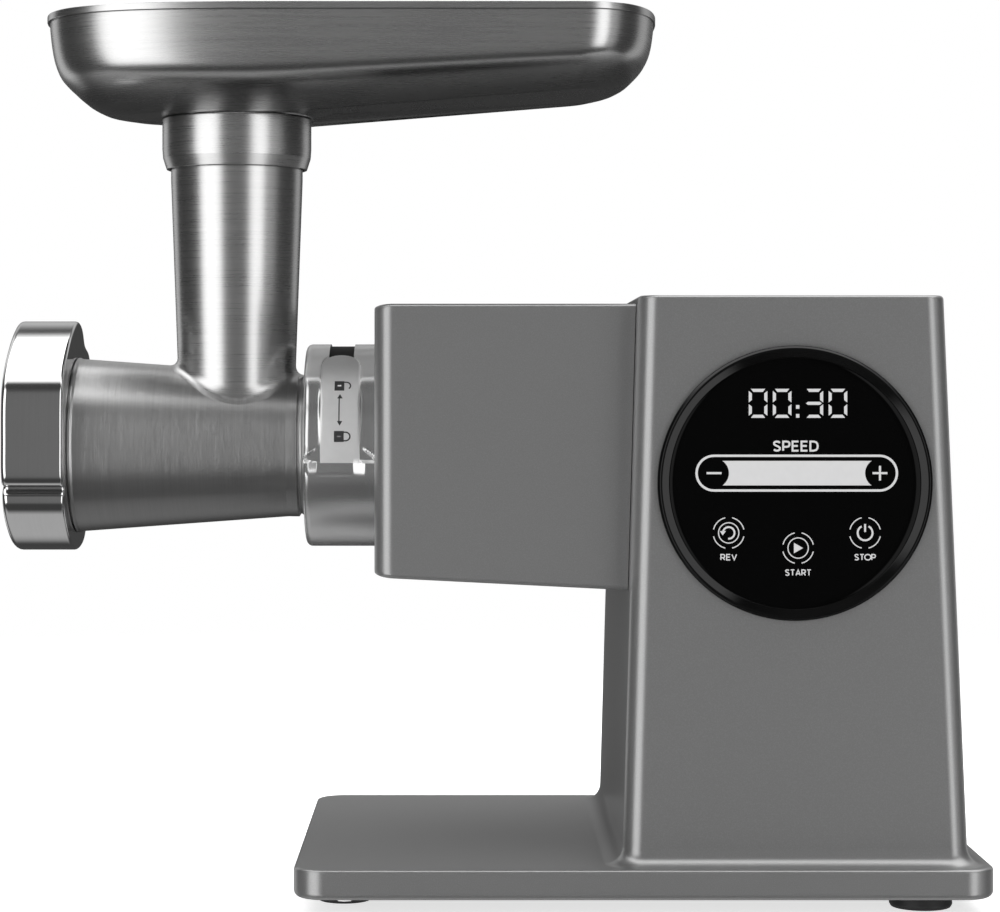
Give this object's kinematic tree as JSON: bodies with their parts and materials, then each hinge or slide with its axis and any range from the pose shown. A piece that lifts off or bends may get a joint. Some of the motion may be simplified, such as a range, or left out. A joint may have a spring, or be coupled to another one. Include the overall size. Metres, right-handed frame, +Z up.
{
  "type": "electric meat grinder",
  "caption": "Electric meat grinder: base and column housing with a round touch panel, gear drive in an arm, lock ring, steel head with auger, knife, plate, ring nut and lift-off tray.",
  "frame": {"origin": "centre of the bounding box on the surface that the feet stand on", "axes": "+X from the grinding head towards the column, -Y towards the control panel, +Z up"},
  "size_m": [0.4098, 0.213, 0.3718],
  "materials": {
    "housing_paint": "die-cast housing in satin dark grey metallic paint",
    "dark_plastic": "fine moulded texture",
    "gloss_black": "piano black rim",
    "panel_glass": "black touch glass with lit symbols",
    "brushed_steel": "stainless steel, fine brushed grain",
    "polished_chrome": "polished",
    "satin_chrome": "satin",
    "machined_steel": "machined",
    "cast_steel": "cast, lightly polished",
    "cast_aluminium": "die cast",
    "white_nylon": "natural nylon",
    "circuit_board": "green solder mask",
    "dark_carbon": "ferrite and carbon",
    "copper": "turned copper",
    "soft_rubber": "matte rubber"
  },
  "bodies": {
    "housing": {"main_housing": "housing_paint", "arm_housing": "housing_paint", "bottom_cover": "dark_plastic", "rear_cover": "dark_plastic", "cord_gland": "soft_rubber", "foot_head_front": "soft_rubber", "foot_head_rear": "soft_rubber", "foot_column_front": "soft_rubber", "foot_column_rear": "soft_rubber", "control_bezel": "gloss_black", "control_glass": "panel_glass", "display_board": "circuit_board", "power_board": "circuit_board", "head_socket": "dark_plastic", "gearbox_housing": "cast_aluminium", "gearbox_cover": "cast_aluminium", "output_bearing_front": "machined_steel", "output_bearing_rear": "machined_steel", "motor_can": "machined_steel", "motor_end_cap": "dark_plastic", "motor_bearing_front": "machined_steel", "motor_bearing_rear": "machined_steel", "magnet_upper": "dark_carbon", "magnet_lower": "dark_carbon", "brush_front": "dark_carbon", "brush_rear": "dark_carbon", "bottom_cover_screw_1": "machined_steel", "rear_cover_screw_1": "machined_steel", "socket_screw_1": "machined_steel", "bottom_cover_screw_2": "machined_steel", "rear_cover_screw_2": "machined_steel", "socket_screw_2": "machined_steel", "bottom_cover_screw_3": "machined_steel", "rear_cover_screw_3": "machined_steel", "socket_screw_3": "machined_steel", "bottom_cover_screw_4": "machined_steel", "rear_cover_screw_4": "machined_steel", "socket_screw_4": "machined_steel"},
    "lock_ring": {"lock_ring": "satin_chrome"},
    "head": {"grinder_head": "brushed_steel", "auger_bush": "white_nylon", "grinding_plate": "machined_steel"},
    "auger": {"auger_screw": "cast_steel", "auger_drive_shaft": "machined_steel", "knife_blade": "machined_steel"},
    "ring_nut": {"ring_nut": "polished_chrome"},
    "tray": {"tray": "brushed_steel", "tray_collar": "brushed_steel"},
    "output": {"output_shaft": "machined_steel", "output_gear": "machined_steel"},
    "idler": {"idler_shaft": "machined_steel", "idler_pinion": "machined_steel", "idler_gear": "white_nylon"},
    "rotor": {"motor_shaft": "machined_steel", "armature": "cast_steel", "commutator": "copper", "motor_pinion": "machined_steel", "cooling_fan": "dark_plastic"}
  },
  "joints": [
    {"name": "motor_spin", "type": "hinge", "parent": "housing", "child": "rotor", "pos_m": [0.06, 0.0175, 0.20311], "axis": [1, 0, 0], "continuous": true},
    {"name": "idler_spin", "type": "hinge", "parent": "housing", "child": "idler", "pos_m": [0, 0.04161, 0.17438], "axis": [1, 0, 0], "continuous": true},
    {"name": "output_spin", "type": "hinge", "parent": "housing", "child": "output", "pos_m": [-0.02, 0, 0.1879], "axis": [1, 0, 0], "continuous": true},
    {"name": "head_slide", "type": "slide", "parent": "housing", "child": "head", "axis": [-1, 0, 0], "range_m": [0, 0.06]},
    {"name": "auger_spin", "type": "hinge", "parent": "head", "child": "auger", "pos_m": [-0.12, 0, 0.1879], "axis": [1, 0, 0], "continuous": true},
    {"name": "ring_nut_turn", "type": "hinge", "parent": "head", "child": "ring_nut", "pos_m": [-0.19, 0, 0.1879], "axis": [-1, 0, 0], "range_deg": [0, 720]},
    {"name": "tray_lift", "type": "slide", "parent": "head", "child": "tray", "axis": [0, 0, 1], "range_m": [0, 0.06]},
    {"name": "lock_ring_turn", "type": "hinge", "parent": "housing", "child": "lock_ring", "pos_m": [-0.06, 0, 0.1879], "axis": [-1, 0, 0], "range_deg": [0, 30]}
  ],
  "couplings": [
    {"joint": "idler_spin", "follows": "motor_spin", "ratio": -0.2},
    {"joint": "output_spin", "follows": "motor_spin", "ratio": 0.05},
    {"joint": "auger_spin", "follows": "motor_spin", "ratio": 0.05}
  ]
}
